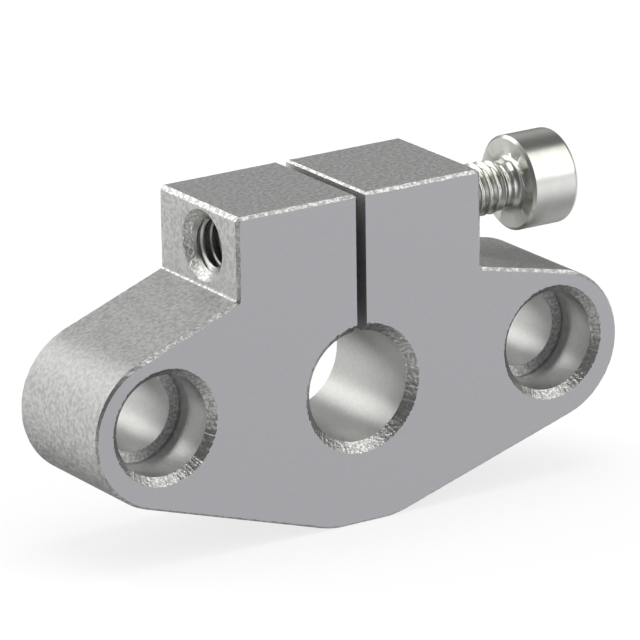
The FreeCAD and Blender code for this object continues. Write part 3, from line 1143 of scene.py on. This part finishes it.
def bearing(azimuth_deg: float, elevation_deg: float) -> Vector:
    """A direction, with its azimuth counted from behind the part towards its right."""
    azimuth, elevation = math.radians(azimuth_deg), math.radians(elevation_deg)
    return Vector((math.sin(azimuth) * math.cos(elevation),
                   math.cos(azimuth) * math.cos(elevation), math.sin(elevation)))


@dataclass(frozen=True)
class SoftBox:
    """A lamp with a flat, even front.

    Attributes:
        name: its name.
        azimuth_deg: direction from the part to the lamp, from behind towards the right.
        elevation_deg: its height over the horizon.
        width_mm: width of its front.
        height_mm: height of its front.
        brightness: how bright its front looks, where 1 is white.
        colour: its colour.
        distance_mm: distance from the part to the lamp.
    """

    name: str
    azimuth_deg: float
    elevation_deg: float
    width_mm: float
    height_mm: float
    brightness: float
    colour: Colour = (1.0, 1.0, 1.0)
    distance_mm: float = 700.0

    def place(self) -> None:
        """Put the lamp in the scene, facing the part."""
        lamp = bpy.data.lights.new(self.name, "AREA")
        lamp.shape = "RECTANGLE"
        lamp.size, lamp.size_y = self.width_mm * MM, self.height_mm * MM
        # An even front that sends its power out over half a sphere looks this bright.
        lamp.energy = self.brightness * math.pi * lamp.size * lamp.size_y
        lamp.color = self.colour
        thing = bpy.data.objects.new(self.name, lamp)
        direction = bearing(self.azimuth_deg, self.elevation_deg)
        turn = direction.to_track_quat("Z", "Y").to_matrix().to_4x4()
        thing.matrix_world = Matrix.Translation(direction * self.distance_mm * MM) @ turn
        thing.visible_camera = False
        bpy.context.scene.collection.objects.link(thing)


@dataclass(frozen=True)
class Glow:
    """A soft patch of brightness in the room round the part.

    Attributes:
        azimuth_deg: direction of its middle, from behind towards the right.
        elevation_deg: height of its middle over the horizon.
        sharpness: the higher, the narrower it is.
        brightness: how bright its middle is, where 1 is white.
        colour: its colour.
    """

    azimuth_deg: float
    elevation_deg: float
    sharpness: float
    brightness: float
    colour: Colour = (1.0, 1.0, 1.0)

    def shone(self, bench: Bench, direction: Signal) -> Signal:
        """Its colour as seen in a direction."""
        middle = bearing(self.azimuth_deg, self.elevation_deg)
        facing = bench.vector("DOT_PRODUCT", direction, middle, output="Value")
        share = self.brightness * facing.clipped() ** self.sharpness
        return bench.node("ShaderNodeVectorMath", {"operation": "SCALE"},
                          {0: self.colour, "Scale": share})


@dataclass(frozen=True)
class Viewpoint:
    """Where the photograph was taken from, worked out from the part's outlines in it.

    Attributes:
        azimuth_deg: round to the left of the front.
        elevation_deg: above the horizon.
        roll_deg: turn of the picture.
        distance_mm: from the aim point.
        lens_mm: focal length.
        film_mm: width of the picture on the film.
        aim_mm: the point that the camera looks at.
    """

    azimuth_deg: float = 32.98
    elevation_deg: float = 17.82
    roll_deg: float = -0.88
    distance_mm: float = 438.0
    lens_mm: float = 355.3
    film_mm: float = 36.0
    aim_mm: tuple[float, float, float] = (-0.2, -5.0, 3.69)

    def place(self) -> None:
        """Put the camera in the scene and make it the scene's own."""
        back = bearing(180.0 + self.azimuth_deg, self.elevation_deg)
        right = UP.cross(back).normalized()
        level = Matrix((right, back.cross(right), back)).transposed()
        turn = Matrix.Rotation(math.radians(self.roll_deg), 3, back) @ level
        lens = bpy.data.cameras.new("camera")
        lens.sensor_width = self.film_mm
        lens.lens = self.lens_mm
        camera = bpy.data.objects.new("camera", lens)
        spot = (Vector(self.aim_mm) + back * self.distance_mm) * MM
        camera.matrix_world = Matrix.Translation(spot) @ turn.to_4x4()
        bpy.context.scene.collection.objects.link(camera)
        bpy.context.scene.camera = camera


COOL = (0.985, 0.975, 1.03)
WARM = (1.0, 1.005, 0.975)


@dataclass
class Studio:
    """Floor, room, lamps and camera.

    Attributes:
        floor_height: height of the floor, in millimetres.
        floor_reach: half the floor's width, in millimetres.
        shadow_share: how much of the floor's look to the camera is lit rather than plain white.
        floor_grey: how much of the light the floor returns.
        even_grey: brightness of the room as the floor sees it.
        glows: what the part sees round it besides the lamps.
        lamps: the soft boxes.
    """

    floor_height: float
    floor_reach: float = 3000.0
    shadow_share: float = 0.25
    floor_grey: float = 0.85
    even_grey: float = 0.6
    glows: tuple[Glow, ...] = (
        Glow(0.0, 90.0, 0.0, 0.1),
        Glow(165.0, -3.0, 8.0, 0.58, COOL),
        Glow(145.0, -12.0, 6.0, 0.52, COOL),
        Glow(175.0, 0.0, 16.0, 0.7, COOL),
        Glow(130.0, -10.0, 16.0, 0.4, COOL),
        Glow(342.0, 0.0, 10.0, 0.4),
        Glow(20.0, 30.0, 12.0, 0.6),
        Glow(300.0, 0.0, 4.0, 0.3, WARM),
        Glow(300.0, 10.0, 10.0, 0.8, WARM),
        Glow(285.0, -25.0, 8.0, 1.9, WARM),
        Glow(270.0, -35.0, 4.0, 0.27),
        Glow(80.0, -20.0, 6.0, 0.96),
        Glow(0.0, -90.0, 4.0, 0.35, COOL),
    )
    lamps: tuple[SoftBox, ...] = (
        SoftBox("front_box", 126.0, 34.5, 550.0, 610.0, 1.67, WARM),
        SoftBox("left_box", 298.0, 30.0, 520.0, 380.0, 1.4, WARM),
        SoftBox("back_box", 335.0, 38.0, 400.0, 400.0, 1.85, WARM),
        SoftBox("top_box", 0.0, 90.0, 500.0, 500.0, 2.9),
    )

    def shade(self, bench: Bench) -> Signal:
        """The backdrop's colour in each direction, as the metal sees it."""
        source = bench.node("ShaderNodeTexCoord", output="Generated")
        direction = bench.vector("NORMALIZE", source)
        total, *others = [glow.shone(bench, direction) for glow in self.glows]
        for colour in others:
            total = bench.vector("ADD", total, colour)
        return total

    def floor(self) -> None:
        """A plain white floor that keeps the part's shadow.

        The metal sees the white room through it, so that its shading is the same from end to end.
        """
        shape = bmesh.new()
        bmesh.ops.create_grid(shape, x_segments=1, y_segments=1, size=self.floor_reach * MM)
        bmesh.ops.translate(shape, vec=(0.0, 0.0, self.floor_height * MM), verts=shape.verts[:])
        material, bench = new_material("white_floor")
        camera = bench.node("ShaderNodeLightPath", output="Is Camera Ray")
        lit = bench.node("ShaderNodeBsdfDiffuse", inputs={"Color": (*[self.floor_grey] * 3, 1.0)})
        plain = bench.node("ShaderNodeEmission", inputs={"Strength": 1.0})
        bench.surface(bench.node("ShaderNodeMixShader", inputs={
            0: (1.0 - self.shadow_share) * camera, 1: lit, 2: plain}))
        sheet = placed(shape, "floor", [material])
        sheet.visible_glossy = False
        sheet.visible_transmission = False

    def room(self) -> None:
        """A white room: plain white to the camera, softly shaded to metal, even to the floor."""
        world = bpy.data.worlds.new("room")
        world.use_nodes = True
        bpy.context.scene.world = world
        bench = Bench(world.node_tree)
        camera, mirrored, passed = (
            bench.node("ShaderNodeLightPath", output=f"Is {kind} Ray")
            for kind in ("Camera", "Glossy", "Transmission"))
        colour = bench.node("ShaderNodeMix", {"data_type": "RGBA"},
                            {0: camera, 6: self.shade(bench), 7: (1.0, 1.0, 1.0, 1.0)}, 2)
        even = bench.node("ShaderNodeBackground", inputs={"Color": (*[self.even_grey] * 3, 1.0)})
        backdrop = bench.node("ShaderNodeBackground", inputs={"Color": colour, "Strength": 1.0})
        bench.surface(bench.node("ShaderNodeMixShader", inputs={
            0: camera + mirrored + passed, 1: even, 2: backdrop}), "ShaderNodeOutputWorld")

    def set_up(self) -> None:
        """Build the studio."""
        self.floor()
        self.room()
        for lamp in self.lamps:
            lamp.place()
        Viewpoint().place()
        bpy.context.scene.view_settings.view_transform = "Standard"


def main() -> None:
    """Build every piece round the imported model, then the studio."""
    logging.basicConfig(level=logging.INFO, format="%(message)s")
    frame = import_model()
    datum = Datum.from_frame(frame)

    block = SupportBlock(datum)
    block_piece = block.build(block.dress())
    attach(block_piece, "support")
    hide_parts("support_body")

    screw = ClampScrew(datum)
    screw_piece = screw.build(screw.dress())
    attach(screw_piece, "screw")
    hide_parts("clamp_screw")

    Studio(floor_height=datum.low.z).set_up()


if __name__ == "__main__":
    main()
